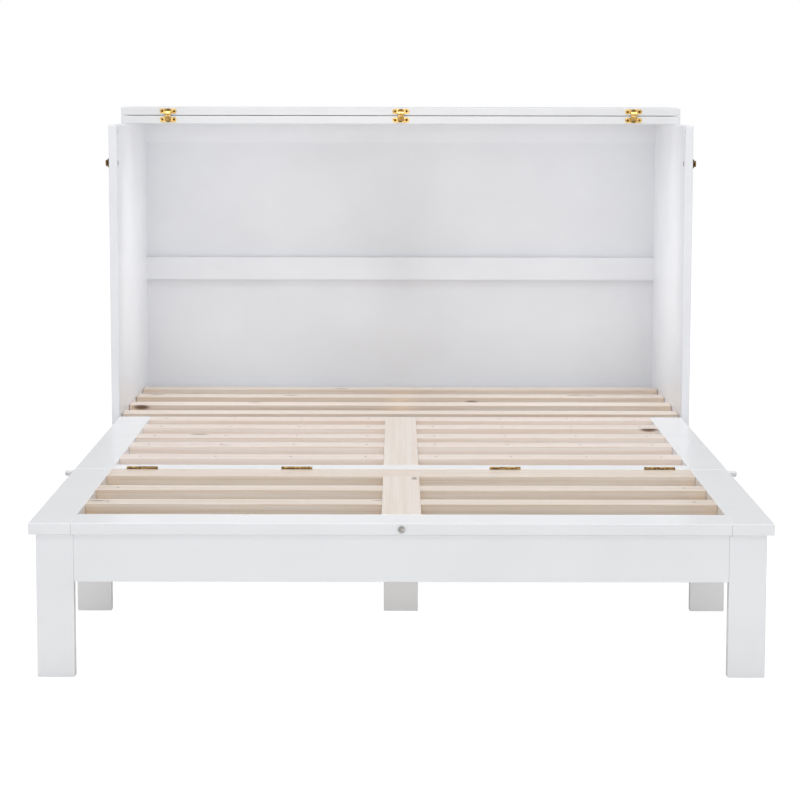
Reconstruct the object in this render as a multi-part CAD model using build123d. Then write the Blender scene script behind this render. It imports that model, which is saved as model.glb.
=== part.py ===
from build123d import *
import os

# A cabinet bed, open and ready for its mattress. Millimetres, +Z up, the
# foot of the bed towards -Y. The origin is under the middle of the whole bed.

# Platform
platform_width = 1410
deck_height = 297.5
board_thickness = 22
front_length = 604
mid_length = 772
side_board_width = 80
front_board_width = 93
centre_board_width = 77
fold_strip_width = 53
fold_slat_width = 88
edge_round = 1.5
slat_round = 1.0
fold_gap = 1.5
panel_thickness = 22

# Slats
slat_width = 60
front_slat_width = 54
front_slat_1_start = 197
front_slat_2_start = 352
mid_slat_1_start = 706
mid_slat_2_start = 576
mid_slat_3_start = 432
mid_slat_4_start = 303
mid_slat_5_start = 134
rear_slat_pitch = 152
rear_slat_clearance = 2
joint_clearance = 0.1
cut_past = 1

# Cabinet
cabinet_depth = 655
side_height = 1026.5
side_thickness = 19
side_clearance = 1.5
back_thickness = 7
rail_thickness = 20
top_rail_height = 57
mid_rail_height = 62
mid_rail_bottom = 589.5
bottom_rail_height = 70
bottom_rail_bottom = 205.5
plinth_thickness = 18
plinth_bottom = 40
plinth_drop = 3
ledger_width = 30
ledger_thickness = 22
centre_rail_width = 60
centre_rail_height = 44
post_width = 45

# Lid
lid_thickness = 20.5
lid_front_set_back = 258
leaf_length = 270
lid_stack_gap = 1.5
lid_closed_gap = 1.0
leaf_relief = 0.3

# Legs
front_leg_width = 71
front_leg_depth = 22
leg_top_gap = 0.5
front_leg_side_inset = 13.5
leg_front_inset = 4
apron_height = 90.5
apron_thickness = 22
inner_leg_width = 73
inner_leg_thickness = 20
inner_leg_side_inset = 11.5
inner_leg_distance = 43
inner_rail_height = 60
inner_rail_thickness = 18
inner_rail_bottom = 152.5
inner_block_height = 16
inner_block_length = 60
under_rail_width = 95
under_rail_centre_width = 100
under_rail_leg_gap = 1

# Butt hinges
leaf_thickness = 1.6
knuckle_count = 5
knuckle_gap = 0.3
pin_radius = 1.2
pin_clearance = 0.06
knuckle_overlap = 1
fold_knuckle_radius = 3.75
fold_axis_rise = 1.5
fold_leaf_gap = 0.4
fold_hinge_width = 67
fold_leaf_height = 19
fold_hinge_inner_x = 225
fold_hinge_outer_x = 559
corner_knuckle_radius = 3.3
corner_knuckle_clearance = 0.2
corner_leaf_reach = 34
door_hinge_width = 76
door_hinge_inner_x = 190
door_hinge_outer_x = 560
leg_hinge_width = 60
barrel_clearance = 0.5

# Lid hinges with a sliding link
cup_width = 44
cup_height = 13
cup_depth = 16
link_outer_radius = 14
link_inner_radius = 9.5
link_width = 15
link_clearance = 0.4
link_end_angle = 2
cup_proud = 0.4
cup_screw_spread = 15
cup_screw_radius = 2.8
cup_screw_groove = 0.4
cup_screw_depth = 0.7
lid_hinge_x = 604

# Side latches and spring catches
latch_drop = 95
latch_pin_radius = 5
latch_bush_wall = 2
latch_fit = 0.08
latch_travel = 6.5
latch_disc_radius = 8
latch_disc_thickness = 3.5
latch_disc_round = 0.8
latch_disc_clearance = 0.3
latch_reach = 12
rosette_radius = 13.75
rosette_rim_radius = 10.5
rosette_height = 7
rosette_floor = 1.8
rosette_recess = 2
strike_clearance = 1
strike_wall = 1.5
strike_depth = 9
catch_radius = 6.5
catch_fit = 0.15
catch_reach = 22
catch_travel = 21.5
catch_body = 22
catch_end_gap = 1
catch_from_fold = 10
catch_strike_depth = 13
catch_round = 2.5

# Screws and the centre bolt
screw_head_radius = 3
screw_head_height = 2
screw_sink = 0.4
screw_shank_radius = 1.6
screw_length = 32
screw_clearance = 0.1
screw_end_distance = 42
screw_pitch = 168
bolt_head_radius = 6.85
bolt_head_height = 3
bolt_shank_radius = 3
bolt_socket_radius = 2.6
bolt_socket_depth = 2
bolt_past_nut = 3
nut_radius = 5
nut_height = 16
nut_set_back = 26

# Places that follow from the sizes above
overall_length = bolt_head_height + front_length + mid_length + cabinet_depth
front_y = -overall_length / 2 + bolt_head_height
fold_y = front_y + front_length
cabinet_y = fold_y + mid_length
back_y = cabinet_y + cabinet_depth
half_width = platform_width / 2
slat_end = half_width - side_board_width
inner_half = half_width + side_clearance
outer_half = inner_half + side_thickness
board_bottom = deck_height - board_thickness
panel_bottom = board_bottom - panel_thickness
board_middle = deck_height - board_thickness / 2
fold_axis_z = deck_height + fold_axis_rise
corner_offset = corner_knuckle_radius + corner_knuckle_clearance
door_axis_y = cabinet_y - corner_offset
door_axis_z = panel_bottom - corner_offset
plinth_top = panel_bottom - plinth_drop
door_end_y = door_axis_y + door_axis_z - plinth_top - 2
rail_front_y = back_y - back_thickness - rail_thickness
rear_slat_start = door_axis_y + deck_height - door_axis_z + rear_slat_clearance
lid_front_y = cabinet_y + lid_front_set_back
lid_axis_y = lid_front_y - lid_closed_gap / 2
lid_axis_z = side_height + lid_thickness + lid_stack_gap / 2
leaf_bottom = side_height + lid_thickness + lid_stack_gap
leaf_top = leaf_bottom + lid_thickness - leaf_relief
latch_y = door_axis_y + board_middle - door_axis_z
latch_height = side_height - latch_drop
strike_y = door_axis_y - (latch_height - door_axis_z)
catch_y = fold_y + catch_from_fold
catch_strike_z = door_axis_z + door_axis_y - catch_y
leg_front_y = front_y + leg_front_inset
leg_back_y = leg_front_y + front_leg_depth
leg_top = board_bottom - leg_top_gap
front_leg_outside = half_width - front_leg_side_inset
front_leg_x = front_leg_outside - front_leg_width / 2
leg_axis_y = leg_back_y + corner_offset
leg_axis_z = panel_bottom - corner_offset
inner_leg_back = fold_y - inner_leg_distance
inner_leg_front = inner_leg_back - inner_leg_thickness
inner_block_bottom = panel_bottom - inner_block_height
inner_leg_top = inner_block_bottom - leg_top_gap
inner_axis_y = inner_leg_front - corner_offset
inner_axis_z = inner_block_bottom - corner_offset
front_end_y = fold_y - fold_gap / 2
mid_start_y = fold_y + fold_gap / 2
fold_hinge_places = (-fold_hinge_outer_x, -fold_hinge_inner_x, fold_hinge_inner_x, fold_hinge_outer_x)
door_hinge_places = (-door_hinge_outer_x, -door_hinge_inner_x, door_hinge_inner_x, door_hinge_outer_x)
front_leg_places = (-front_leg_x, front_leg_x)
inner_leg_x = half_width - inner_leg_side_inset - inner_leg_width / 2
inner_leg_places = {"left": -inner_leg_x, "centre": 0, "right": inner_leg_x}
lid_hinge_places = (-lid_hinge_x, 0, lid_hinge_x)
sides = {"left": -1, "right": 1}


def block(x0, x1, y0, y1, z0, z1, rounding=0.0):
    """A board between two corners, with its edges eased."""
    low, high = sorted((x0, x1))
    solid = Pos(low, y0, z0) * Box(high - low, y1 - y0, z1 - z0, align=(Align.MIN,) * 3)
    if rounding:
        solid = fillet(solid.edges(), rounding)
    return solid


def rod_x(x0, x1, y, z, radius):
    """A round bar along X."""
    return Pos((x0 + x1) / 2, y, z) * Rot(0, 90, 0) * Cylinder(radius, abs(x1 - x0))


def square_bar(x0, x1, y, z, half):
    """A square bar along X."""
    return block(x0, x1, y - half, y + half, z - half, z + half)


def rod_y(x, y0, y1, z, radius):
    """A round bar along Y."""
    return Pos(x, (y0 + y1) / 2, z) * Rot(90, 0, 0) * Cylinder(radius, abs(y1 - y0))


def rod_z(x, y, z0, z1, radius):
    """A round bar along Z."""
    return Pos(x, y, (z0 + z1) / 2) * Cylinder(radius, abs(z1 - z0))


def hinge_leaf(width, reach, near, far, radius, outer):
    """One leaf of a butt hinge. Its axis is X through the origin and its plate hangs along -Z
    between y = near and y = far. The outer leaf has the end knuckles and carries the pin."""
    step = width / knuckle_count
    top = -radius - barrel_clearance
    leaf = block(-width / 2, width / 2, near, far, -reach, top)
    for place in range(knuckle_count):
        if (place % 2 == 0) != outer:
            continue
        x0 = -width / 2 + place * step + knuckle_gap / 2
        x1 = x0 + step - knuckle_gap
        leaf += rod_x(x0, x1, 0, 0, radius)
        leaf += block(x0, x1, near, far, top - knuckle_overlap, 0)
    if outer:
        leaf += rod_x(-width / 2 + knuckle_gap, width / 2 - knuckle_gap, 0, 0, pin_radius)
    else:
        leaf -= rod_x(-width, width, 0, 0, pin_radius + pin_clearance)
    return leaf


def corner_hinge(places, width, y, z, hanging_side, hanging_outer):
    """Butt hinges in an inside corner: one leaf hangs on an upright face, the other lies under
    a flat one. hanging_side is the side of the axis, along Y, where the upright face is."""
    near = corner_offset - leaf_thickness
    hanging = []
    lying = []
    for x in places:
        sheet = sorted((hanging_side * near, hanging_side * corner_offset))
        leaf = hinge_leaf(width, corner_leaf_reach, *sheet, corner_knuckle_radius, hanging_outer)
        hanging.append(Pos(x, y, z) * leaf)
        sheet = sorted((-hanging_side * near, -hanging_side * corner_offset))
        leaf = hinge_leaf(width, corner_leaf_reach, *sheet, corner_knuckle_radius, not hanging_outer)
        lying.append(Pos(x, y, z) * Rot(-hanging_side * 90, 0, 0) * leaf)
    return hanging, lying


def fold_hinge_pocket(x):
    """The room that one fold hinge takes out of the boards on both sides of the fold."""
    half = fold_hinge_width / 2 + joint_clearance
    leaf_half = fold_leaf_gap / 2 + leaf_thickness + joint_clearance
    leaf_foot = fold_axis_z - fold_leaf_height - joint_clearance
    room = block(x - half, x + half, fold_y - leaf_half, fold_y + leaf_half, leaf_foot, fold_axis_z)
    barrel_half = fold_knuckle_radius + barrel_clearance
    low = fold_axis_z - barrel_half
    room += block(x - half, x + half, fold_y - barrel_half, fold_y + barrel_half, low, fold_axis_z)
    return room


def fold_hinges():
    """Front and mid leaves of the four fold hinges, with their knuckles proud of the deck."""
    near = fold_leaf_gap / 2
    far = near + leaf_thickness
    front = []
    mid = []
    for x in fold_hinge_places:
        place = Pos(x, fold_y, fold_axis_z)
        front.append(
            place * hinge_leaf(fold_hinge_width, fold_leaf_height, -far, -near, fold_knuckle_radius, False)
        )
        mid.append(
            place * hinge_leaf(fold_hinge_width, fold_leaf_height, near, far, fold_knuckle_radius, True)
        )
    return front, mid


def screw_down(x, y, top, grow=0.0):
    """A sunk screw driven down from a surface. A grown one is its hole."""
    head_low = top - screw_sink - screw_head_height
    head_top = top + cut_past if grow else top - screw_sink
    body = rod_z(x, y, head_low, head_top, screw_head_radius + grow)
    body += rod_z(x, y, top - screw_length - grow, head_low, screw_shank_radius + grow)
    return body


def screw_places(first_x, slat_start, width):
    """Where one piece of slat is screwed down, on both sides of the middle."""
    places = []
    x = slat_end - screw_end_distance
    while x > first_x:
        places.append((x, slat_start + width / 2))
        places.append((-x, slat_start + width / 2))
        x -= screw_pitch
    return places


def together(solids):
    """Several solids as one subcomponent."""
    result = solids[0]
    for solid in solids[1:]:
        result += solid
    return result


def without(solid, tools):
    """A solid with several tools cut out of it."""
    for tool in tools:
        solid -= tool
    return solid


def slat_pair(y0, width):
    """A slat in two pieces that stop at the centre board."""
    inner = centre_board_width / 2
    left = block(-slat_end, -inner, y0, y0 + width, board_bottom, deck_height, slat_round)
    right = block(inner, slat_end, y0, y0 + width, board_bottom, deck_height, slat_round)
    return left + right


def link_ring(clearance, start, sweep):
    """A length of the curved link about the lid's axis, in the plane x = 0. Angles are from
    the top, towards the front."""
    outer = link_outer_radius + clearance
    inner = link_inner_radius - clearance
    section = Plane.XZ * Pos(0, (outer + inner) / 2) * Rectangle(link_width + 2 * clearance, outer - inner)
    ring = revolve(section, axis=Axis.X, revolution_arc=sweep)
    return Pos(0, lid_axis_y, lid_axis_z) * Rot(start, 0, 0) * ring


def lid_cup(x, height, grow=0.0):
    """An oval hinge cup set in the edge of a lid board. A grown one is its pocket."""
    shape = SlotOverall(cup_width + 2 * grow, cup_height + 2 * grow)
    plane = Plane(origin=(x, lid_front_y, height), x_dir=(1, 0, 0), z_dir=(0, 1, 0))
    body = extrude(plane * shape, cup_depth + grow)
    if grow:
        return body
    body += extrude(plane * shape, -cup_proud)
    front = lid_front_y - cup_proud
    for place in (x - cup_screw_spread, x + cup_screw_spread):
        ring = rod_y(place, front, front + cup_screw_depth, height, cup_screw_radius)
        ring -= rod_y(place, front, front + cup_screw_depth, height, cup_screw_radius - cup_screw_groove)
        body -= ring
    return body - Pos(x, 0, 0) * link_ring(link_clearance, 0, 360)


parts = {}

# Cabinet
for name, side in sides.items():
    panel = block(side * inner_half, side * outer_half, cabinet_y, back_y, 0, side_height, edge_round)
    bush_radius = latch_pin_radius + latch_bush_wall
    inside = side * (inner_half - cut_past)
    panel -= rod_x(inside, side * (outer_half + cut_past), latch_y, latch_height, bush_radius)
    seat = side * (outer_half - rosette_recess)
    panel -= rod_x(seat, side * (outer_half + cut_past), latch_y, latch_height, rosette_radius)
    depth = side * (inner_half + catch_strike_depth)
    panel -= rod_x(inside, depth, latch_y, catch_strike_z, catch_radius + strike_clearance)
    parts[f"side_panel_{name}"] = panel

parts["back_panel"] = block(
    -inner_half, inner_half, back_y - back_thickness, back_y, plinth_bottom, side_height
)
back_rails = {
    "top": (side_height - top_rail_height, side_height),
    "middle": (mid_rail_bottom, mid_rail_bottom + mid_rail_height),
    "bottom": (bottom_rail_bottom, bottom_rail_bottom + bottom_rail_height),
}
for name, (low, high) in back_rails.items():
    rail = block(-inner_half, inner_half, rail_front_y, rail_front_y + rail_thickness, low, high)
    parts[f"back_rail_{name}"] = rail

parts["plinth_board"] = block(
    -inner_half, inner_half, cabinet_y, cabinet_y + plinth_thickness, plinth_bottom, plinth_top
)
ledger_bottom = board_bottom - ledger_thickness
parts["slat_ledgers"] = together(
    [
        block(
            side * (inner_half - ledger_width),
            side * inner_half,
            rear_slat_start,
            rail_front_y,
            ledger_bottom,
            board_bottom,
        )
        for side in sides.values()
    ]
)
rail_bottom = board_bottom - centre_rail_height
parts["centre_rail"] = block(
    -centre_rail_width / 2, centre_rail_width / 2, rear_slat_start, rail_front_y, rail_bottom, board_bottom
) + block(
    -post_width / 2, post_width / 2, rear_slat_start, rear_slat_start + post_width, 0, rail_bottom
)
for place in range(4):
    start = rear_slat_start + place * rear_slat_pitch
    slat = block(
        -half_width, half_width, start, start + slat_width, board_bottom, deck_height, slat_round
    )
    parts[f"rear_slat_{place + 1}"] = slat

# Lid
rear_cup_height = side_height + lid_thickness / 2
leaf_cup_height = leaf_bottom + lid_thickness / 2
rear_board = block(
    -outer_half, outer_half, lid_front_y, back_y, side_height, side_height + lid_thickness, edge_round
)
leaf_board = block(
    -outer_half, outer_half, lid_front_y, lid_front_y + leaf_length, leaf_bottom, leaf_top, edge_round
)
rear_cups = []
leaf_cups = []
links = []
for x in lid_hinge_places:
    slot = Pos(x, 0, 0) * link_ring(link_clearance, 0, 360)
    rear_board = rear_board - lid_cup(x, rear_cup_height, joint_clearance) - slot
    leaf_board = leaf_board - lid_cup(x, leaf_cup_height, joint_clearance) - slot
    rear_cups.append(lid_cup(x, rear_cup_height))
    leaf_cups.append(lid_cup(x, leaf_cup_height))
    links.append(Pos(x, 0, 0) * link_ring(0, -link_end_angle, 180 + 2 * link_end_angle))
parts["lid_rear_board"] = rear_board
parts["lid_leaf_board"] = leaf_board
parts["lid_hinge_rear_cups"] = together(rear_cups)
parts["lid_hinge_leaf_cups"] = together(leaf_cups)
parts["lid_hinge_links"] = together(links)

# Middle section
fold_pockets = [fold_hinge_pocket(x) for x in fold_hinge_places]
screw_spots = []
mid_slats = []
mid_slat_starts = (mid_slat_1_start, mid_slat_2_start, mid_slat_3_start, mid_slat_4_start, mid_slat_5_start)
for start in mid_slat_starts:
    spots = screw_places(0, fold_y + start, slat_width)
    screw_spots += spots
    slat = slat_pair(fold_y + start, slat_width)
    mid_slats.append(without(slat, [screw_down(x, y, deck_height, screw_clearance) for x, y in spots]))
for place, slat in enumerate(mid_slats):
    parts[f"mid_slat_{place + 1}"] = slat
mid_screws = [screw_down(x, y, deck_height) for x, y in screw_spots]
parts["mid_screws"] = Compound(children=mid_screws)
panel = block(-half_width, half_width, mid_start_y, door_end_y, panel_bottom, board_bottom, edge_round)
for x, y in screw_spots:
    foot = deck_height - screw_length - screw_clearance
    panel -= rod_z(x, y, foot, board_bottom + cut_past, screw_shank_radius + screw_clearance)
parts["door_panel"] = panel

strike_half = latch_pin_radius + strike_clearance
cup_half = strike_half + strike_wall
strikes = []
for name, side in sides.items():
    board = block(
        side * slat_end, side * half_width, mid_start_y, door_end_y, board_bottom, deck_height, edge_round
    )
    edge = side * half_width
    strike_end = side * (half_width - strike_depth)
    beyond = side * (half_width + cut_past)
    board -= square_bar(strike_end, beyond, strike_y, board_middle, cup_half)
    strike = square_bar(strike_end, edge, strike_y, board_middle, cup_half)
    strikes.append(strike - square_bar(strike_end, beyond, strike_y, board_middle, strike_half))
    bore_end = side * (half_width - catch_body - catch_travel - catch_end_gap)
    board -= rod_x(bore_end, beyond, catch_y, board_middle, catch_radius + catch_fit)
    parts[f"mid_side_board_{name}"] = board
    catch_start = side * (half_width - catch_body)
    catch = rod_x(catch_start, side * (half_width + catch_reach), catch_y, board_middle, catch_radius)
    tip = catch.faces().sort_by(Axis.X)[-1 if side > 0 else 0]
    parts[f"spring_catch_{name}"] = fillet(tip.edges(), catch_round)
parts["latch_strikes"] = together(strikes)

strip_end = fold_y + fold_strip_width
strip = block(-slat_end, slat_end, mid_start_y, strip_end, board_bottom, deck_height, edge_round)
parts["mid_fold_strip"] = without(strip, fold_pockets)
centre_half = centre_board_width / 2
parts["mid_centre_board"] = block(
    -centre_half, centre_half, strip_end, door_end_y, board_bottom, deck_height, slat_round
)

# Front section
for name, side in sides.items():
    parts[f"front_side_board_{name}"] = block(
        side * slat_end, side * half_width, front_y, front_end_y, board_bottom, deck_height, edge_round
    )
front_board_end = front_y + front_board_width
front_board = block(-slat_end, slat_end, front_y, front_board_end, board_bottom, deck_height, edge_round)
nut_y = front_y + nut_set_back
nut_top = board_bottom + nut_height
bolt_end = nut_y + nut_radius + bolt_past_nut
bolt = rod_y(0, front_y - bolt_head_height, front_y, board_middle, bolt_head_radius)
bolt += rod_y(0, front_y, bolt_end, board_middle, bolt_shank_radius)
bolt += rod_z(0, nut_y, board_bottom, nut_top, nut_radius)
socket_plane = Plane(origin=(0, front_y - bolt_head_height, board_middle), x_dir=(1, 0, 0), z_dir=(0, 1, 0))
bolt -= extrude(socket_plane * RegularPolygon(bolt_socket_radius, 6), bolt_socket_depth)
bolt_hole_radius = bolt_shank_radius + joint_clearance
front_board -= rod_y(0, front_y - cut_past, bolt_end + joint_clearance, board_middle, bolt_hole_radius)
nut_hole_radius = nut_radius + joint_clearance
front_board -= rod_z(0, nut_y, board_bottom - cut_past, nut_top + joint_clearance, nut_hole_radius)
parts["front_board"] = front_board
parts["centre_bolt"] = bolt

fold_slat_start = fold_y - fold_slat_width
fold_slat = block(-slat_end, slat_end, fold_slat_start, front_end_y, board_bottom, deck_height, slat_round)
front_spots = []
for place, start in enumerate((front_slat_1_start, front_slat_2_start)):
    spots = screw_places(slat_end - screw_pitch, front_y + start, front_slat_width)
    front_spots += spots
    slat = slat_pair(front_y + start, front_slat_width)
    holes = [screw_down(x, y, deck_height, screw_clearance) for x, y in spots]
    parts[f"front_slat_{place + 1}"] = without(slat, holes)
parts["front_fold_slat"] = without(fold_slat, fold_pockets)
parts["front_centre_board"] = block(
    -centre_half, centre_half, front_board_end, fold_slat_start, board_bottom, deck_height, slat_round
)
under_start = leg_back_y + under_rail_leg_gap
under_edges = [
    (-front_leg_outside, -front_leg_outside + under_rail_width),
    (-under_rail_centre_width / 2, under_rail_centre_width / 2),
    (front_leg_outside - under_rail_width, front_leg_outside),
]
under_rails = []
for x0, x1 in under_edges:
    rail = block(x0, x1, under_start, front_end_y, panel_bottom, board_bottom)
    for x, y in front_spots:
        if x0 < x < x1:
            foot = deck_height - screw_length - screw_clearance
            rail -= rod_z(x, y, foot, board_bottom + cut_past, screw_shank_radius + screw_clearance)
    under_rails.append(rail)
parts["front_under_rails"] = together(under_rails)
parts["front_screws"] = Compound(children=[screw_down(x, y, deck_height) for x, y in front_spots])
parts["inner_leg_blocks"] = together(
    [
        block(
            x - inner_leg_width / 2,
            x + inner_leg_width / 2,
            inner_leg_front - inner_block_length,
            inner_leg_back,
            inner_block_bottom,
            panel_bottom,
        )
        for x in inner_leg_places.values()
    ]
)

# Front legs
for name, side in sides.items():
    inner_x = side * (front_leg_outside - front_leg_width)
    outer_x = side * front_leg_outside
    parts[f"front_leg_{name}"] = block(inner_x, outer_x, leg_front_y, leg_back_y, 0, leg_top, edge_round)
apron_half = front_leg_outside - front_leg_width
parts["front_apron"] = block(
    -apron_half,
    apron_half,
    leg_front_y,
    leg_front_y + apron_thickness,
    leg_top - apron_height,
    leg_top,
    edge_round,
)

# Inner legs
for name, x in inner_leg_places.items():
    half = inner_leg_width / 2
    parts[f"inner_leg_{name}"] = block(
        x - half, x + half, inner_leg_front, inner_leg_back, 0, inner_leg_top, edge_round
    )
rail_half = inner_leg_x + inner_leg_width / 2
parts["inner_leg_rail"] = block(
    -rail_half,
    rail_half,
    inner_leg_back,
    inner_leg_back + inner_rail_thickness,
    inner_rail_bottom,
    inner_rail_bottom + inner_rail_height,
)

# Hinges
fold_front, fold_mid = fold_hinges()
parts["fold_hinge_front_leaves"] = together(fold_front)
parts["fold_hinge_mid_leaves"] = together(fold_mid)
hanging, lying = corner_hinge(door_hinge_places, door_hinge_width, door_axis_y, door_axis_z, 1, True)
parts["door_hinge_plinth_leaves"] = together(hanging)
parts["door_hinge_panel_leaves"] = together(lying)
front_hanging, front_lying = corner_hinge(
    front_leg_places, leg_hinge_width, leg_axis_y, leg_axis_z, -1, False
)
inner_hanging, inner_lying = corner_hinge(
    inner_leg_places.values(), leg_hinge_width, inner_axis_y, inner_axis_z, 1, False
)
parts["front_leg_hinge_leaves"] = together(front_hanging)
parts["inner_leg_hinge_leaves"] = together(inner_hanging)
parts["leg_hinge_deck_leaves"] = together(front_lying + inner_lying)

# Side latches
bushes = []
for name, side in sides.items():
    seat = side * (outer_half - rosette_recess)
    proud = side * (outer_half + rosette_height)
    floor = side * (outer_half + rosette_floor)
    bush = rod_x(side * inner_half, seat, latch_y, latch_height, latch_pin_radius + latch_bush_wall)
    bush += rod_x(seat, side * outer_half, latch_y, latch_height, rosette_radius)
    rim = Rot(0, side * 90, 0) * Cone(rosette_radius, rosette_rim_radius, rosette_height)
    bush += Pos(side * (outer_half + rosette_height / 2), latch_y, latch_height) * rim
    pocket_radius = latch_disc_radius + latch_disc_clearance
    bush -= rod_x(floor, proud + side * cut_past, latch_y, latch_height, pocket_radius)
    bore_radius = latch_pin_radius + latch_fit
    bore_ends = (side * (inner_half - cut_past), proud + side * cut_past)
    bore = rod_x(*bore_ends, latch_y, latch_height, bore_radius)
    bushes.append(bush - bore)
    disc_outside = side * (outer_half + latch_reach)
    disc_inside = side * (outer_half + latch_reach - latch_disc_thickness)
    pin = rod_x(side * inner_half, disc_inside, latch_y, latch_height, latch_pin_radius)
    disc = rod_x(disc_inside, disc_outside, latch_y, latch_height, latch_disc_radius)
    parts[f"latch_pin_{name}"] = pin + fillet(disc.edges().filter_by(GeomType.CIRCLE), latch_disc_round)
parts["latch_bushes"] = together(bushes)

os.makedirs("parts", exist_ok=True)
for name, solid in parts.items():
    export_step(solid, f"parts/{name}.step")
print(len(parts), "subcomponents")
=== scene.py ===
import math

import bmesh
import bpy
from mathutils import Matrix, Vector


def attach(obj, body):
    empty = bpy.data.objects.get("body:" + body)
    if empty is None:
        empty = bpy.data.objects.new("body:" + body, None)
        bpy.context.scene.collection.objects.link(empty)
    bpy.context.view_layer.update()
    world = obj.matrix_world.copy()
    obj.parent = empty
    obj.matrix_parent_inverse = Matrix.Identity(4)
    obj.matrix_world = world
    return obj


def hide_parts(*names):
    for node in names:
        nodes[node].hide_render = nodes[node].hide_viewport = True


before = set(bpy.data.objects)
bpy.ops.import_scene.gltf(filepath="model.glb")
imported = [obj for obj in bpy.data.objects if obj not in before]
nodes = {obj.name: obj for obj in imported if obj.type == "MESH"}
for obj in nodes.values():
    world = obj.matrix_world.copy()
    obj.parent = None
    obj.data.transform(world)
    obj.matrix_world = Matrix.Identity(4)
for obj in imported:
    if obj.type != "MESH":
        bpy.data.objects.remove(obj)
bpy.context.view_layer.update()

MM = 0.001

# Lamp powers in watts, and the strength of the surround
KEY = 60
INSIDE = 0.62
WALLS = 0.62
FRONT = 54
TOP = 105
WORLD = 0.42

# Places that the CAD model fixes
LATCH_Y = 0.395
LATCH_Z = 0.9315
PANEL_INSIDE_X = 0.7065
PANEL_OUTSIDE_X = 0.7255
BOLT_Z = 0.2865
LID_EDGE_Y = 0.62
LID_HINGE_X = (-0.604, 0.0, 0.604)
REAR_CUP_Z = 1.03675
LEAF_CUP_Z = 1.05875
DOOR_AXIS = (0.3585, 0.25)
FRONT_LEG_AXIS = (-0.9845, 0.25)
INNER_LEG_AXIS = (-0.4765, 0.234)
DECK_EDGE_X = 0.705
CATCH_Y = -0.4
BACK_Y = 1.017
LATCH_BORE_RADIUS = 5.08 * MM
ROSETTE_RADIUS = 13.75 * MM
ROSETTE_RECESS = 2 * MM
KNOB_STAND_OFF = 8.5 * MM
CUP_PROUD = 0.4 * MM
CUP_SCREW_SPREAD = 15 * MM

# Sizes of the patterns and details that only the scene draws
ORANGE_PEEL = 5 * MM
PATINA_PATCH = 7 * MM
NYLON_CLOUD = 6 * MM
NYLON_SPARK = 0.6 * MM
SMOOTH_BELOW = 35
CROSS_DEPTH = 0.7 * MM
HEAD_EDGE = 0.35 * MM

# Camera, fitted to the photo
CAMERA_PLACE = (-0.00907, -5.0737, 1.10466)
CAMERA_TURN = -0.078
CAMERA_TILT = 5.915
CAMERA_ROLL = 0.1
CAMERA_LENS = 98.29
CAMERA_SHIFT = -0.1
SENSOR_WIDTH = 36.0


def colour(hex_code):
    """A colour written as sRGB, as the linear values that a shader reads."""
    values = [int(hex_code[i : i + 2], 16) / 255 for i in (1, 3, 5)]
    return [v / 12.92 if v <= 0.04045 else ((v + 0.055) / 1.055) ** 2.4 for v in values] + [1.0]


def add(tree, kind, settings=None, links=None):
    """Adds a node with its settings, and sets or links its sockets."""
    node = tree.nodes.new(kind)
    for name, value in (settings or {}).items():
        setattr(node, name, value)
    for socket, value in (links or {}).items():
        if isinstance(value, bpy.types.NodeSocket):
            tree.links.new(value, node.inputs[socket])
        else:
            node.inputs[socket].default_value = value
    return node


def blend(tree, share, first, second):
    """A colour between two, by a share from 0 to 1."""
    mixed = add(tree, "ShaderNodeMix", {"data_type": "RGBA"}, {0: share, 6: first, 7: second})
    return mixed.outputs[2]


def new_material(name):
    """An empty node material, with its shader and output joined."""
    material = bpy.data.materials.new(name)
    material.use_nodes = True
    tree = material.node_tree
    tree.nodes.clear()
    shader = add(tree, "ShaderNodeBsdfPrincipled")
    add(tree, "ShaderNodeOutputMaterial", links={"Surface": shader.outputs["BSDF"]})
    place = add(tree, "ShaderNodeTexCoord").outputs["Object"]
    return material, tree, shader, place


def lacquered_board(name, base, shade, roughness, coat):
    """White lacquer rolled on board: an even white with a very slight orange peel, a little
    unevenness from coat to coat, and a soft gloss that turns bright at low angles."""
    material, tree, shader, place = new_material(name)
    cloud = add(
        tree,
        "ShaderNodeTexNoise",
        links={"Vector": place, "Scale": 1 / (260 * MM), "Detail": 3.0, "Roughness": 0.55},
    )
    tone = add(
        tree,
        "ShaderNodeMapRange",
        links={"Value": cloud.outputs["Fac"], "From Min": 0.32, "From Max": 0.68},
    )
    paint = blend(tree, tone.outputs["Result"], colour(base), colour(shade))
    # Orange peel is about 1 mm across on a sprayed coat. It is drawn larger so that it shows.
    peel = add(
        tree,
        "ShaderNodeTexNoise",
        links={"Vector": place, "Scale": 1 / ORANGE_PEEL, "Detail": 2.0, "Roughness": 0.5},
    )
    bump = add(
        tree,
        "ShaderNodeBump",
        links={"Height": peel.outputs["Fac"], "Strength": 0.25, "Distance": 0.12 * MM},
    )
    gloss = add(
        tree,
        "ShaderNodeMapRange",
        links={
            "Value": cloud.outputs["Fac"],
            "From Min": 0.3,
            "From Max": 0.7,
            "To Min": roughness - 0.03,
            "To Max": roughness + 0.04,
        },
    )
    tree.links.new(paint, shader.inputs["Base Color"])
    tree.links.new(gloss.outputs["Result"], shader.inputs["Roughness"])
    tree.links.new(bump.outputs["Normal"], shader.inputs["Normal"])
    shader.inputs["IOR"].default_value = 1.5
    shader.inputs["Coat Weight"].default_value = coat
    shader.inputs["Coat Roughness"].default_value = 0.12
    return material


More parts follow.
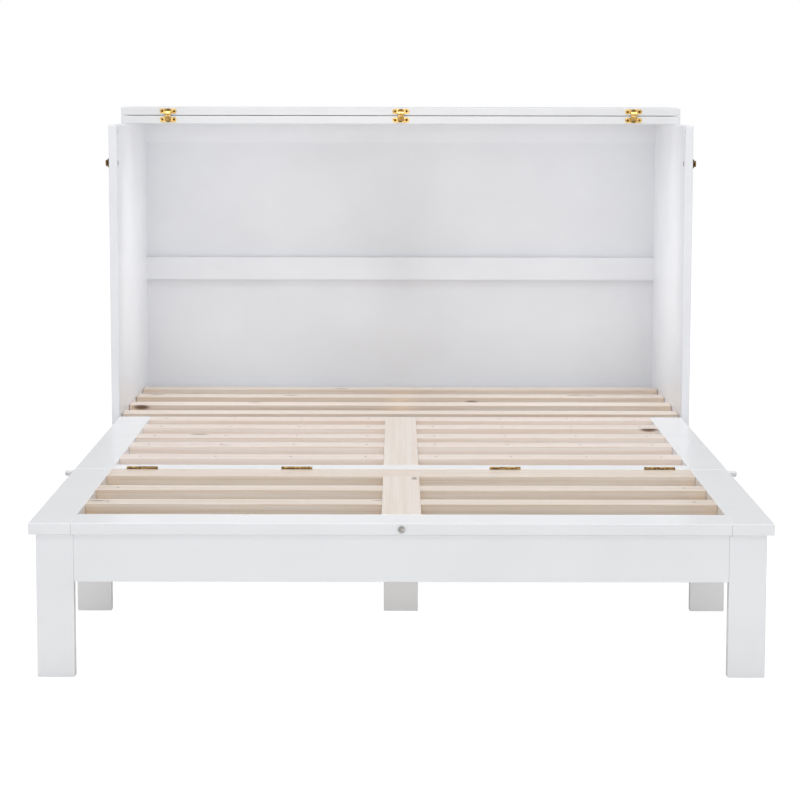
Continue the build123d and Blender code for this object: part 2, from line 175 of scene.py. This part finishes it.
def planed_softwood(name, pale, warm, ring, knot, along_y=False, offset=0.0):
    """Planed bare softwood: long soft streaks, growth rings that run with the board, short fine
    fibres, a few small dark knots, and open ring ends where the board is cut across."""
    material, tree, shader, place = new_material(name)
    turn = math.radians(90) if along_y else 0.0
    lie = add(
        tree,
        "ShaderNodeMapping",
        links={"Vector": place, "Rotation": (0, 0, turn), "Location": (offset, offset * 0.37, 0)},
    )
    grain = lie.outputs["Vector"]
    # Streaks are about 14 mm wide and run half the length of a slat.
    stretched = add(
        tree,
        "ShaderNodeMapping",
        links={"Vector": grain, "Scale": (1 / (620 * MM), 1 / (14 * MM), 1 / (11 * MM))},
    )
    streak = add(
        tree,
        "ShaderNodeTexNoise",
        links={
            "Vector": stretched.outputs["Vector"],
            "Scale": 1.0,
            "Detail": 4.0,
            "Roughness": 0.62,
            "Distortion": 0.35,
        },
    )
    streak_share = add(
        tree,
        "ShaderNodeMapRange",
        {"interpolation_type": "SMOOTHSTEP"},
        {"Value": streak.outputs["Fac"], "From Min": 0.36, "From Max": 0.66},
    )
    # Growth rings are 4 mm apart, and lean and wander along the board.
    ringed = add(
        tree,
        "ShaderNodeMapping",
        links={"Vector": grain, "Scale": (0.045, 1.0, 0.8), "Rotation": (0.35, 0, 0)},
    )
    rings = add(
        tree,
        "ShaderNodeTexWave",
        {"wave_type": "BANDS", "bands_direction": "Y", "wave_profile": "SAW"},
        {
            "Vector": ringed.outputs["Vector"],
            "Scale": 0.314 / (4.2 * MM),
            "Distortion": 5.5,
            "Detail": 2.0,
            "Detail Scale": 0.35,
            "Detail Roughness": 0.6,
        },
    )
    # Fibres and pores are well under 1 mm across. They are drawn larger so that they show.
    fine = add(
        tree,
        "ShaderNodeMapping",
        links={"Vector": grain, "Scale": (1 / (55 * MM), 1 / (1.6 * MM), 1 / (1.6 * MM))},
    )
    fibre = add(
        tree,
        "ShaderNodeTexNoise",
        links={"Vector": fine.outputs["Vector"], "Scale": 1.0, "Detail": 3.0, "Roughness": 0.7},
    )
    # Knots sit a hand or two apart, and each is 6 to 12 mm long.
    knotted = add(
        tree,
        "ShaderNodeMapping",
        links={"Vector": grain, "Scale": (1 / (230 * MM), 1 / (72 * MM), 1 / (72 * MM))},
    )
    knots = add(
        tree,
        "ShaderNodeTexVoronoi",
        {"feature": "F1"},
        {"Vector": knotted.outputs["Vector"], "Scale": 1.0, "Randomness": 1.0},
    )
    knot_share = add(
        tree,
        "ShaderNodeMapRange",
        {"interpolation_type": "SMOOTHSTEP"},
        {
            "Value": knots.outputs["Distance"],
            "From Min": 0.05,
            "From Max": 0.13,
            "To Min": 1.0,
            "To Max": 0.0,
        },
    )
    ground = blend(tree, streak_share.outputs["Result"], colour(pale), colour(warm))
    ring_share = add(
        tree,
        "ShaderNodeMapRange",
        links={"Value": rings.outputs["Fac"], "From Min": 0.45, "To Max": 0.36},
    )
    ringed_ground = blend(tree, ring_share.outputs["Result"], ground, colour(ring))
    fibre_share = add(
        tree,
        "ShaderNodeMapRange",
        links={"Value": fibre.outputs["Fac"], "From Min": 0.52, "From Max": 0.8, "To Max": 0.4},
    )
    fibred = blend(tree, fibre_share.outputs["Result"], ringed_ground, colour(ring))
    # The cut ends drink in light and look darker, with the rings as close arcs.
    facing = add(tree, "ShaderNodeNewGeometry")
    axes = add(tree, "ShaderNodeSeparateXYZ", links={0: facing.outputs["True Normal"]})
    across = add(
        tree,
        "ShaderNodeMath",
        {"operation": "ABSOLUTE"},
        {0: axes.outputs["Y" if along_y else "X"]},
    )
    end_share = add(
        tree,
        "ShaderNodeMapRange",
        links={"Value": across.outputs[0], "From Min": 0.8, "From Max": 0.95, "To Max": 0.55},
    )
    ended = blend(tree, end_share.outputs["Result"], fibred, colour(knot))
    knotted_wood = blend(tree, knot_share.outputs["Result"], ended, colour(knot))
    relief = add(
        tree,
        "ShaderNodeMath",
        {"operation": "ADD"},
        {0: fibre.outputs["Fac"], 1: rings.outputs["Fac"]},
    )
    bump = add(
        tree,
        "ShaderNodeBump",
        links={"Height": relief.outputs[0], "Strength": 0.3, "Distance": 0.15 * MM},
    )
    gloss = add(
        tree,
        "ShaderNodeMapRange",
        links={"Value": streak.outputs["Fac"], "To Min": 0.46, "To Max": 0.62},
    )
    tree.links.new(knotted_wood, shader.inputs["Base Color"])
    tree.links.new(gloss.outputs["Result"], shader.inputs["Roughness"])
    tree.links.new(bump.outputs["Normal"], shader.inputs["Normal"])
    shader.inputs["IOR"].default_value = 1.5
    shader.inputs["Coat Weight"].default_value = 1.0
    shader.inputs["Coat Roughness"].default_value = 0.3
    return material


def aged_metal(name, bright, dark, roughness, spread, grit_mm, share=(0.4, 0.6)):
    """A metal with a patina: bright where hands and tools rub it, dark in between, and with a
    fine grit from how it was cast, plated or brushed."""
    material, tree, shader, place = new_material(name)
    patches = add(
        tree,
        "ShaderNodeTexNoise",
        links={"Vector": place, "Scale": 1 / PATINA_PATCH, "Detail": 4.0, "Roughness": 0.65},
    )
    worn = add(
        tree,
        "ShaderNodeMapRange",
        {"interpolation_type": "SMOOTHSTEP"},
        {"Value": patches.outputs["Fac"], "From Min": share[0], "From Max": share[1]},
    )
    skin = blend(tree, worn.outputs["Result"], colour(dark), colour(bright))
    dullness = add(
        tree,
        "ShaderNodeMapRange",
        links={
            "Value": patches.outputs["Fac"],
            "From Min": 0.3,
            "From Max": 0.7,
            "To Min": roughness + spread,
            "To Max": roughness - spread,
        },
    )
    grit = add(
        tree,
        "ShaderNodeTexNoise",
        links={"Vector": place, "Scale": 1 / (grit_mm * MM), "Detail": 2.0, "Roughness": 0.5},
    )
    bump = add(
        tree,
        "ShaderNodeBump",
        links={"Height": grit.outputs["Fac"], "Strength": 0.35, "Distance": 0.05 * MM},
    )
    tree.links.new(skin, shader.inputs["Base Color"])
    tree.links.new(dullness.outputs["Result"], shader.inputs["Roughness"])
    tree.links.new(bump.outputs["Normal"], shader.inputs["Normal"])
    shader.inputs["Metallic"].default_value = 1.0
    return material


def moulded_nylon(name, base, shade):
    """Moulded nylon: slightly cloudy, with the fine spark texture of the mould."""
    material, tree, shader, place = new_material(name)
    cloud = add(
        tree,
        "ShaderNodeTexNoise",
        links={"Vector": place, "Scale": 1 / NYLON_CLOUD, "Detail": 2.0},
    )
    body = blend(tree, cloud.outputs["Fac"], colour(base), colour(shade))
    spark = add(
        tree,
        "ShaderNodeTexNoise",
        links={"Vector": place, "Scale": 1 / NYLON_SPARK, "Detail": 1.0},
    )
    bump = add(
        tree,
        "ShaderNodeBump",
        links={"Height": spark.outputs["Fac"], "Strength": 0.3, "Distance": 0.04 * MM},
    )
    tree.links.new(body, shader.inputs["Base Color"])
    tree.links.new(bump.outputs["Normal"], shader.inputs["Normal"])
    shader.inputs["Roughness"].default_value = 0.42
    shader.inputs["IOR"].default_value = 1.53
    return material


white_lacquer = lacquered_board("white_lacquer_on_board", "#EDEEF0", "#E8E9EB", 0.30, 0.12)
# Painted shade: the lids wear a slightly darker copy of the same white lacquer, to tone down how
# brightly they are lit.
lid_white_painted_shade = lacquered_board("lid_lacquer_painted_shade", "#E6E7E9", "#E1E2E4", 0.34, 0.05)
# Painted light: the inner legs wear a lighter copy of the same white lacquer, to lift the shade that
# falls on them under the deck.
leg_white_painted_light = lacquered_board("leg_lacquer_painted_light", "#F6F7F9", "#F1F2F4", 0.34, 0.05)
# Painted light: the cabinet wears a lighter, cooler copy of the same white lacquer, to lift the shade
# inside it and offset the warm light that the wood bounces onto its walls.
cabinet_white_painted_light = lacquered_board("cabinet_lacquer_painted_light", "#F0F2F6", "#EBEDF1", 0.36, 0.05)
back_white = lacquered_board("back_sheet_white", "#EDEFF3", "#E8EAEE", 0.42, 0.0)

# Softwood in shades from pale to ring, and the knots
SLAT_SHADES = ("#EADDCF", "#E0CDB9", "#CBB196", "#6E5038")
PALE_SHADES = ("#F0E4DA", "#E8D5C6", "#D6B8A1", "#6E5038")
REAR_SHADES = ("#EDE0D3", "#E4D1BE", "#D2B69C", "#6E5038")
CENTRE_SHADES = ("#EEE4DA", "#E6D7C8", "#D6C0A9", "#6E5038")
SAWN_SHADES = ("#DDCBB6", "#D0B99E", "#B99B7C", "#5E442E")
slat_wood = planed_softwood("planed_slat_wood", *SLAT_SHADES)
door_side_wood = planed_softwood("planed_pale_slat_wood", *PALE_SHADES, offset=3.1)
rear_wood = planed_softwood("planed_rear_slat_wood", *REAR_SHADES, offset=7.7)
centre_wood = planed_softwood("planed_centre_wood", *CENTRE_SHADES, along_y=True)
rail_wood = planed_softwood("sawn_rail_wood", *SAWN_SHADES, along_y=True, offset=2.3)
cross_rail_wood = planed_softwood("sawn_cross_rail_wood", *SAWN_SHADES, offset=5.9)

antique_brass = aged_metal("antique_brass", "#A98A55", "#4A3A28", 0.38, 0.08, 0.8)
satin_brass = aged_metal("satin_brass", "#D9B877", "#B8924F", 0.32, 0.06, 0.9)
zinc_plate = aged_metal("zinc_plated_steel", "#C9C8C2", "#9C9B96", 0.34, 0.08, 0.7)
screw_steel = aged_metal("dull_screw_steel", "#A99A86", "#6F6253", 0.45, 0.06, 0.6)
bolt_steel = aged_metal("satin_bolt_steel", "#B9B7B2", "#8C8A86", 0.30, 0.06, 0.7)
dark_steel = aged_metal("blackened_screw_steel", "#5B4C36", "#2C241A", 0.42, 0.06, 0.6)
dark_zinc = aged_metal("dulled_zinc_ferrule", "#8F8E8A", "#5E5D5A", 0.40, 0.06, 0.6)
# Painted shade: a near-black sheet that stands in for the shade inside the slots of the lid hinge
# cups. Its two near-black tones vary at random and are not a patina.
painted_slot_shade = aged_metal("shadowed_slot", "#1E1812", "#120E0A", 0.60, 0.05, 0.8)
nylon = moulded_nylon("moulded_white_nylon", "#E6E7E9", "#DADBDD")

FINISHES = {
    "side_panel": cabinet_white_painted_light,
    "back_panel": back_white,
    "back_rail": cabinet_white_painted_light,
    "plinth_board": cabinet_white_painted_light,
    "lid_rear_board": lid_white_painted_shade,
    "lid_leaf_board": lid_white_painted_shade,
    "door_panel": white_lacquer,
    "mid_side_board": white_lacquer,
    "mid_fold_strip": white_lacquer,
    "front_side_board": white_lacquer,
    "front_board": white_lacquer,
    "front_leg_left": white_lacquer,
    "front_leg_right": white_lacquer,
    "front_apron": white_lacquer,
    "inner_leg_left": leg_white_painted_light,
    "inner_leg_centre": leg_white_painted_light,
    "inner_leg_right": leg_white_painted_light,
    "rear_slat": rear_wood,
    "mid_slat": door_side_wood,
    "front_slat": slat_wood,
    "front_fold_slat": slat_wood,
    "mid_centre_board": centre_wood,
    "front_centre_board": centre_wood,
    "slat_ledgers": rail_wood,
    "centre_rail": rail_wood,
    "front_under_rails": rail_wood,
    "inner_leg_blocks": cross_rail_wood,
    "inner_leg_rail": cross_rail_wood,
    "lid_hinge": satin_brass,
    "fold_hinge": antique_brass,
    "latch": antique_brass,
    "door_hinge": zinc_plate,
    "leg_hinge": zinc_plate,
    "front_leg_hinge": zinc_plate,
    "inner_leg_hinge": zinc_plate,
    "mid_screws": screw_steel,
    "front_screws": screw_steel,
    "centre_bolt": bolt_steel,
    "spring_catch": nylon,
}


def give_finish(piece, material):
    """Puts one material on a whole object."""
    piece.data.materials.clear()
    piece.data.materials.append(material)


for name, node in nodes.items():
    matches = [start for start in FINISHES if name.startswith(start)]
    give_finish(node, FINISHES[max(matches, key=len)])


# Small pieces that the CAD model leaves plain


def keep(shape, name, body, material, smooth=True):
    """Turns a bmesh into a piece of the object that rides on a body."""
    bmesh.ops.remove_doubles(shape, verts=shape.verts, dist=0.002 * MM)
    bmesh.ops.recalc_face_normals(shape, faces=shape.faces)
    mesh = bpy.data.meshes.new(name)
    shape.to_mesh(mesh)
    shape.free()
    if smooth:
        mesh.shade_smooth()
        mesh.set_sharp_from_angle(angle=math.radians(SMOOTH_BELOW))
    mesh.materials.append(material)
    piece = bpy.data.objects.new(name, mesh)
    bpy.context.scene.collection.objects.link(piece)
    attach(piece, body)
    return piece


def frame_at(place, direction):
    """The matrix that stands a shape made along +Z at a place, pointing along a direction."""
    turn = Vector(direction).to_track_quat("Z", "Y").to_matrix().to_4x4()
    return Matrix.Translation(place) @ turn


def turned(shape, profile, place, direction, steps=40):
    """Turns a profile of (radius, height) points about a line. The profile starts and ends on
    the line where its ends have no radius."""
    made = bmesh.new()
    points = [made.verts.new((radius, 0, height)) for radius, height in profile]
    edges = [made.edges.new(pair) for pair in zip(points, points[1:])]
    bmesh.ops.spin(
        made,
        geom=points + edges,
        cent=(0, 0, 0),
        axis=(0, 0, 1),
        angle=math.tau,
        steps=steps,
        use_merge=True,
        use_duplicate=False,
    )
    bmesh.ops.remove_doubles(made, verts=made.verts, dist=0.001 * MM)
    bmesh.ops.transform(made, matrix=frame_at(place, direction), verts=made.verts)
    join(shape, made)


def join(shape, made):
    """Moves one bmesh into another."""
    spare = bpy.data.meshes.new("spare")
    bmesh.ops.recalc_face_normals(made, faces=made.faces)
    made.to_mesh(spare)
    made.free()
    shape.from_mesh(spare)
    bpy.data.meshes.remove(spare)


def screw_head(shape, place, direction, radius, turn):
    """A flat screw head with a cross sunk in it."""
    made = bmesh.new()
    bmesh.ops.create_circle(made, cap_ends=True, segments=28, radius=radius)
    half = radius * 0.15
    reach = radius * 0.62
    for axis in ((1, 0, 0), (0, 1, 0)):
        for away in (-reach, -half, half, reach):
            bmesh.ops.bisect_plane(
                made,
                geom=made.verts[:] + made.edges[:] + made.faces[:],
                plane_co=Vector(axis) * away,
                plane_no=axis,
            )
    sunk = []
    for face in made.faces:
        middle = face.calc_center_median()
        along = abs(middle.x) < reach and abs(middle.y) < half
        across = abs(middle.y) < reach and abs(middle.x) < half
        if along or across:
            sunk.append(face)
    moved = bmesh.ops.extrude_face_region(made, geom=sunk)["geom"]
    low = [v for v in moved if isinstance(v, bmesh.types.BMVert)]
    bmesh.ops.translate(made, verts=low, vec=(0, 0, -CROSS_DEPTH))
    rim = [edge for edge in made.edges if edge.is_boundary]
    skirt = bmesh.ops.extrude_edge_only(made, edges=rim)["geom"]
    foot = [v for v in skirt if isinstance(v, bmesh.types.BMVert)]
    bmesh.ops.scale(made, verts=foot, vec=(1.06, 1.06, 1))
    bmesh.ops.translate(made, verts=foot, vec=(0, 0, -HEAD_EDGE))
    stand = frame_at(place, direction) @ Matrix.Rotation(turn, 4, "Z")
    bmesh.ops.transform(made, matrix=stand, verts=made.verts)
    join(shape, made)


def latch_knobs():
    """Turned knobs on the two side latches, each with a waisted neck and a rounded rim."""
    for side, name in ((-1, "left"), (1, "right")):
        shape = bmesh.new()
        start = side * PANEL_INSIDE_X
        length = PANEL_OUTSIDE_X - PANEL_INSIDE_X
        disc = length + KNOB_STAND_OFF
        profile = [
            (0, 0),
            (4.2 * MM, 0),
            (5.0 * MM, 0.8 * MM),
            (5.0 * MM, length + 2.6 * MM),
            (4.0 * MM, length + 3.6 * MM),
            (3.8 * MM, length + 6.0 * MM),
            (4.7 * MM, disc - 0.1 * MM),
            (7.3 * MM, disc),
            (7.9 * MM, disc + 0.6 * MM),
            (8.0 * MM, disc + 1.5 * MM),
            (7.7 * MM, disc + 2.5 * MM),
            (6.9 * MM, disc + 3.0 * MM),
            (6.3 * MM, disc + 2.8 * MM),
            (5.6 * MM, disc + 3.0 * MM),
            (3.0 * MM, disc + 3.4 * MM),
            (0, disc + 3.5 * MM),
        ]
        turned(shape, profile, (start, LATCH_Y, LATCH_Z), (side, 0, 0))
        piece = keep(shape, f"latch_knob_{name}", f"latch_{name}", antique_brass)
        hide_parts(f"latch_pin_{name}")


def latch_rosettes():
    """A tapered rosette round each latch, with a bead at its foot and a seat for the knob."""
    shape = bmesh.new()
    for side in (-1, 1):
        foot = PANEL_OUTSIDE_X - PANEL_INSIDE_X
        profile = [
            (LATCH_BORE_RADIUS, 0),
            (7.0 * MM, 0),
            (7.0 * MM, foot - ROSETTE_RECESS),
            (ROSETTE_RADIUS, foot - ROSETTE_RECESS),
            (ROSETTE_RADIUS, foot + 0.9 * MM),
            (13.4 * MM, foot + 1.5 * MM),
            (12.7 * MM, foot + 1.7 * MM),
            (12.3 * MM, foot + 2.2 * MM),
            (11.6 * MM, foot + 4.4 * MM),
            (10.7 * MM, foot + 6.5 * MM),
            (10.1 * MM, foot + 7.0 * MM),
            (8.9 * MM, foot + 7.0 * MM),
            (8.4 * MM, foot + 6.6 * MM),
            (8.3 * MM, foot + 1.8 * MM),
            (5.4 * MM, foot + 1.8 * MM),
            (LATCH_BORE_RADIUS, foot + 1.5 * MM),
            (LATCH_BORE_RADIUS, 0),
        ]
        turned(shape, profile, (side * PANEL_INSIDE_X, LATCH_Y, LATCH_Z), (side, 0, 0), 48)
    piece = keep(shape, "latch_rosettes", "cabinet", antique_brass)
    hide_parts("latch_bushes")


def lid_hinge_fittings():
    """Two screws in each cup of the lid hinges, and a thin near-black sheet at the mouth of the slot
    that the link slides in: painted shade where the link goes into the cup.
    """
    for name, body, height, away in (
        ("rear", "cabinet", REAR_CUP_Z, -1),
        ("leaf", "lid_leaf", LEAF_CUP_Z, 1),
    ):
        face = LID_EDGE_Y - CUP_PROUD
        screws = bmesh.new()
        slot_shades = bmesh.new()
        for x in LID_HINGE_X:
            for side in (-1, 1):
                centre = (x + side * CUP_SCREW_SPREAD, face - 0.04 * MM, height)
                screw_head(screws, centre, (0, -1, 0), 2.9 * MM, turn=0.5 * side + 3 * x)
            # Painted shade: a thin near-black sheet at the slot's mouth, where the link goes into the
            # cup.
            slot = bmesh.new()
            bmesh.ops.create_cube(
                slot,
                size=1.0,
                matrix=Matrix.Translation((x, face + 0.2 * MM, height + away * 4.75 * MM))
                @ Matrix.Diagonal((8.5 * MM, 0.5 * MM, 2.2 * MM, 1)),
            )
            bmesh.ops.bevel(
                slot,
                geom=slot.edges[:],
                offset=0.2 * MM,
                affect="EDGES",
                segments=2,
                profile=0.5,
                material=-1,
            )
            join(slot_shades, slot)
        keep(screws, f"lid_hinge_{name}_screws", body, dark_steel)
        keep(slot_shades, f"lid_hinge_{name}_slots", body, painted_slot_shade)


def hinge_screws(name, body, places, spread, line, direction):
    """A row of cross-head screws in each leaf of a set of butt hinges. The line is the row's
    (y, z) on the face of the leaf."""
    shape = bmesh.new()
    out = Vector(direction) * 0.2 * MM
    for number, x in enumerate(places):
        for step, away in enumerate(spread):
            centre = Vector((x + away, line[0], line[1])) + out
            screw_head(shape, centre, direction, 3.0 * MM, turn=0.7 * number + 1.1 * step)
    keep(shape, name, body, screw_steel)


def butt_hinge_screws():
    """Screws in the hinges under the deck: at the door, the front legs and the inner legs."""
    leaf = 1.9 * MM
    row = 20 * MM
    forward, back, down = (0, -1, 0), (0, 1, 0), (0, 0, -1)
    doors = (-0.56, -0.19, 0.19, 0.56), (-30 * MM, -11 * MM, 11 * MM, 30 * MM)
    front = (-0.656, 0.656), (-21 * MM, 0, 21 * MM)
    inner = (-0.657, 0, 0.657), (-21 * MM, 0, 21 * MM)
    y, z = DOOR_AXIS
    hinge_screws("door_hinge_plinth_screws", "cabinet", *doors, (y + leaf, z - row), forward)
    hinge_screws("door_hinge_panel_screws", "mid_section", *doors, (y - row, z + leaf), down)
    y, z = FRONT_LEG_AXIS
    hinge_screws("front_leg_hinge_screws", "front_legs", *front, (y - leaf, z - row), back)
    hinge_screws("leg_hinge_deck_screws", "front_section", *front, (y + row, z + leaf), down)
    y, z = INNER_LEG_AXIS
    hinge_screws("inner_leg_hinge_screws", "inner_legs", *inner, (y + leaf, z - row), forward)
    hinge_screws("inner_hinge_deck_screws", "front_section", *inner, (y - row, z + leaf), down)


def catch_ferrules():
    """A thin steel ferrule round each spring catch, pressed into the edge of the side board."""
    shape = bmesh.new()
    for side in (-1, 1):
        profile = [
            (6.75 * MM, -2.0 * MM),
            (6.75 * MM, 0.8 * MM),
            (7.0 * MM, 1.0 * MM),
            (7.8 * MM, 1.0 * MM),
            (8.2 * MM, 0.6 * MM),
            (8.2 * MM, -2.0 * MM),
            (6.75 * MM, -2.0 * MM),
        ]
        turned(shape, profile, (side * DECK_EDGE_X, CATCH_Y, BOLT_Z), (side, 0, 0))
    keep(shape, "catch_ferrules", "mid_section", dark_zinc)


def back_screws():
    """Small screws that hold the back sheet to the rails, the sides and the foot."""
    shape = bmesh.new()
    heights = (0.09, 0.24, 0.43, 0.62, 0.81, 0.998)
    backed_rows = (0, 1, 3, 5)
    edge, inner = 0.695, 0.35
    for row, z in enumerate(heights):
        across = (-edge, -inner, 0.0, inner, edge) if row in backed_rows else (-edge, edge)
        for column, x in enumerate(across):
            centre = (x, BACK_Y + 0.15 * MM, z)
            screw_head(shape, centre, (0, 1, 0), 3.2 * MM, turn=row * 0.9 + column * 0.6)
    keep(shape, "back_sheet_screws", "cabinet", zinc_plate)


latch_knobs()
latch_rosettes()
lid_hinge_fittings()
butt_hinge_screws()
catch_ferrules()
back_screws()


# Floor, light and camera


def studio_floor():
    """A white floor that the camera sees as white paper with a faint shadow on it."""
    shape = bmesh.new()
    bmesh.ops.create_grid(shape, x_segments=1, y_segments=1, size=14.0)
    mesh = bpy.data.meshes.new("studio_floor")
    shape.to_mesh(mesh)
    shape.free()
    floor = bpy.data.objects.new("studio_floor", mesh)
    bpy.context.scene.collection.objects.link(floor)
    material = bpy.data.materials.new("white_paper_floor")
    material.use_nodes = True
    tree = material.node_tree
    tree.nodes.clear()
    paper = add(tree, "ShaderNodeBsdfDiffuse", links={"Color": (0.93, 0.93, 0.93, 1)})
    seen = add(tree, "ShaderNodeEmission", links={"Color": (1, 1, 1, 1), "Strength": 1.12})
    path = add(tree, "ShaderNodeLightPath")
    share = add(
        tree, "ShaderNodeMath", {"operation": "MULTIPLY"}, {0: path.outputs["Is Camera Ray"], 1: 0.87}
    )
    mixed = add(
        tree,
        "ShaderNodeMixShader",
        links={0: share.outputs[0], 1: paper.outputs[0], 2: seen.outputs[0]},
    )
    add(tree, "ShaderNodeOutputMaterial", links={"Surface": mixed.outputs[0]})
    mesh.materials.append(material)


def soft_box(name, place, target, size, power, mirrored=True, spread=180):
    """A large soft lamp turned towards a point. One that is not mirrored leaves no highlight."""
    data = bpy.data.lights.new(name, "AREA")
    data.shape = "RECTANGLE"
    data.size, data.size_y = size
    data.energy = power
    data.spread = math.radians(spread)
    lamp = bpy.data.objects.new(name, data)
    bpy.context.scene.collection.objects.link(lamp)
    lamp.location = place
    lamp.rotation_euler = (Vector(target) - Vector(place)).to_track_quat("-Z", "Y").to_euler()
    lamp.visible_camera = False
    lamp.visible_glossy = mirrored


def studio_world(level, tint):
    """An even white surround. The camera sees plain white."""
    world = bpy.data.worlds.new("white_studio")
    world.use_nodes = True
    tree = world.node_tree
    tree.nodes.clear()
    surround = add(tree, "ShaderNodeBackground", links={"Color": tint, "Strength": level})
    seen = add(tree, "ShaderNodeBackground", links={"Color": (1, 1, 1, 1), "Strength": 1.0})
    path = add(tree, "ShaderNodeLightPath")
    mixed = add(
        tree,
        "ShaderNodeMixShader",
        links={0: path.outputs["Is Camera Ray"], 1: surround.outputs[0], 2: seen.outputs[0]},
    )
    add(tree, "ShaderNodeOutputWorld", links={"Surface": mixed.outputs[0]})
    bpy.context.scene.world = world


studio_floor()
studio_world(WORLD, (0.985, 0.99, 1.0, 1))
soft_box("soft_box_left", (-2.0, -3.4, 6.2), (0, 0.5, 0.5), (1.8, 1.8), KEY)
soft_box("soft_box_right", (2.0, -3.4, 6.2), (0, 0.5, 0.5), (1.8, 1.8), KEY)
soft_box("front_light", (0, -6.6, 0.9), (0, 0, 0.6), (3.2, 1.6), FRONT)
soft_box("top_light", (0, -0.45, 5.0), (0, -0.4, 0), (2.6, 2.0), TOP)
soft_box("inside_glow", (0, 0.44, 0.7), (0, 1.0, 0.67), (1.3, 0.42), INSIDE, False)
soft_box("left_wall_glow", (0.1, 0.68, 0.7), (-0.7, 0.68, 0.7), (0.46, 0.5), WALLS, False, 90)
soft_box("right_wall_glow", (-0.1, 0.68, 0.7), (0.7, 0.68, 0.7), (0.46, 0.5), WALLS, False, 90)

camera_data = bpy.data.cameras.new("camera")
camera_data.sensor_width = SENSOR_WIDTH
camera_data.lens = CAMERA_LENS
camera_data.shift_y = CAMERA_SHIFT
camera_data.clip_end = 100.0
camera = bpy.data.objects.new("camera", camera_data)
bpy.context.scene.collection.objects.link(camera)
aim = (
    Matrix.Rotation(math.radians(CAMERA_TURN), 4, "Z")
    @ Matrix.Rotation(math.radians(90 - CAMERA_TILT), 4, "X")
    @ Matrix.Rotation(math.radians(CAMERA_ROLL), 4, "Z")
)
camera.matrix_world = Matrix.Translation(CAMERA_PLACE) @ aim
bpy.context.scene.camera = camera
bpy.context.scene.view_settings.view_transform = "Standard"
